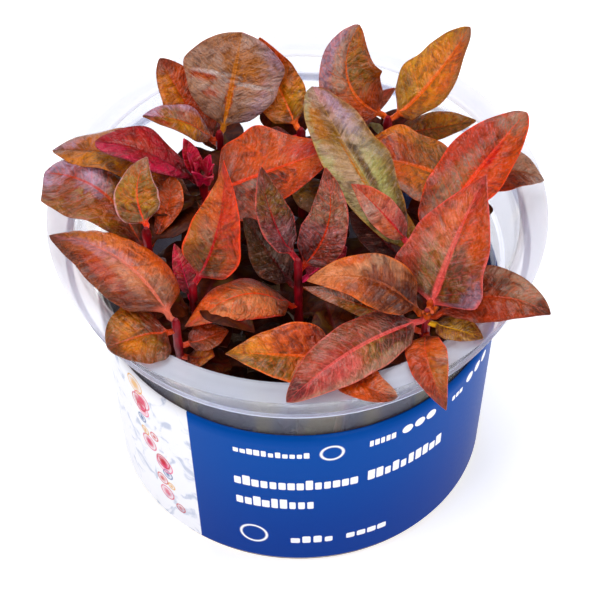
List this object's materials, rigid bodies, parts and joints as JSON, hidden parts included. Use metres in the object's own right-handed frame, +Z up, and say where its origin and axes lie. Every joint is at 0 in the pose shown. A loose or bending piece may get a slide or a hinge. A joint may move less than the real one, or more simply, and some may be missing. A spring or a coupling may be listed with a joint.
{
  "type": "water plant in a cup",
  "caption": "Red and olive leaved water plant (Alternanthera reineckii) growing in gel in a flared clear cup with a plain printed sleeve.",
  "frame": {"origin": "centre of the cup's flat base, on the surface that it stands on", "axes": "+Z up through the cup's mouth, -Y towards the viewer, +X to the viewer's right"},
  "size_m": [0.1, 0.1017, 0.0893],
  "materials": {
    "clear_cup": "clear polypropylene, smooth and slightly milky",
    "label_film": "blue and white printed film, satin gloss",
    "gel": "translucent growing gel",
    "stem": "dark red fleshy stem",
    "leaf_salmon": "waxy leaf, satin, salmon",
    "leaf_wine": "waxy leaf, satin, wine",
    "leaf_brown": "waxy leaf, satin, brown",
    "leaf_olive": "waxy leaf, satin, olive",
    "leaf_pink": "waxy leaf, satin, pink",
    "leaf_peach": "waxy leaf, satin, peach",
    "leaf_moss": "waxy leaf, satin, moss",
    "leaf_crimson": "waxy leaf, satin, crimson",
    "leaf_plum": "waxy leaf, satin, plum",
    "leaf_amber": "waxy leaf, satin, amber",
    "leaf_orange": "waxy leaf, satin, orange",
    "leaf_mauve": "waxy leaf, satin, mauve",
    "leaf_magenta": "waxy leaf, satin, magenta",
    "leaf_sage": "waxy leaf, satin, sage"
  },
  "bodies": {
    "root": {"cup": "clear_cup", "label": "label_film", "growing_gel": "gel", "stem_right_front": "stem", "leaf_right_front_1": "leaf_salmon", "leaf_right_front_2": "leaf_wine", "leaf_right_front_3": "leaf_brown", "leaf_right_front_4": "leaf_olive", "leaf_right_front_5": "leaf_pink", "leaf_right_front_6": "leaf_peach", "leaf_right_front_7": "leaf_moss", "stem_left_middle": "stem", "leaf_left_middle_1": "leaf_salmon", "leaf_left_middle_2": "leaf_crimson", "stem_centre": "stem", "leaf_centre_1": "leaf_plum", "leaf_centre_2": "leaf_plum", "leaf_centre_3": "leaf_crimson", "leaf_centre_4": "leaf_salmon", "leaf_centre_5": "leaf_moss", "stem_left_front": "stem", "leaf_left_front_1": "leaf_salmon", "leaf_left_front_2": "leaf_amber", "leaf_left_front_3": "leaf_brown", "leaf_left_front_4": "leaf_orange", "stem_left": "stem", "leaf_left_1": "leaf_olive", "leaf_left_2": "leaf_orange", "leaf_left_3": "leaf_mauve", "stem_back_left_inner": "stem", "leaf_back_left_inner_1": "leaf_crimson", "leaf_back_left_inner_2": "leaf_brown", "leaf_back_left_inner_3": "leaf_orange", "leaf_back_left_inner_4": "leaf_magenta", "stem_back_left": "stem", "leaf_back_left_1": "leaf_amber", "leaf_back_left_2": "leaf_olive", "leaf_back_left_3": "leaf_mauve", "stem_back": "stem", "leaf_back_1": "leaf_amber", "leaf_back_2": "leaf_wine", "leaf_back_3": "leaf_brown", "leaf_back_4": "leaf_olive", "stem_back_right": "stem", "leaf_back_right_1": "leaf_brown", "leaf_back_right_2": "leaf_amber", "leaf_back_right_3": "leaf_olive", "leaf_back_right_4": "leaf_sage", "stem_right_inner": "stem", "leaf_right_inner_1": "leaf_orange", "leaf_right_inner_2": "leaf_pink", "leaf_right_inner_3": "leaf_sage", "leaf_right_inner_4": "leaf_wine", "leaf_right_inner_5": "leaf_olive", "stem_front": "stem", "leaf_front_1": "leaf_amber", "leaf_front_2": "leaf_orange", "stem_right": "stem", "leaf_right_1": "leaf_brown", "leaf_right_2": "leaf_mauve"}
  },
  "joints": []
}
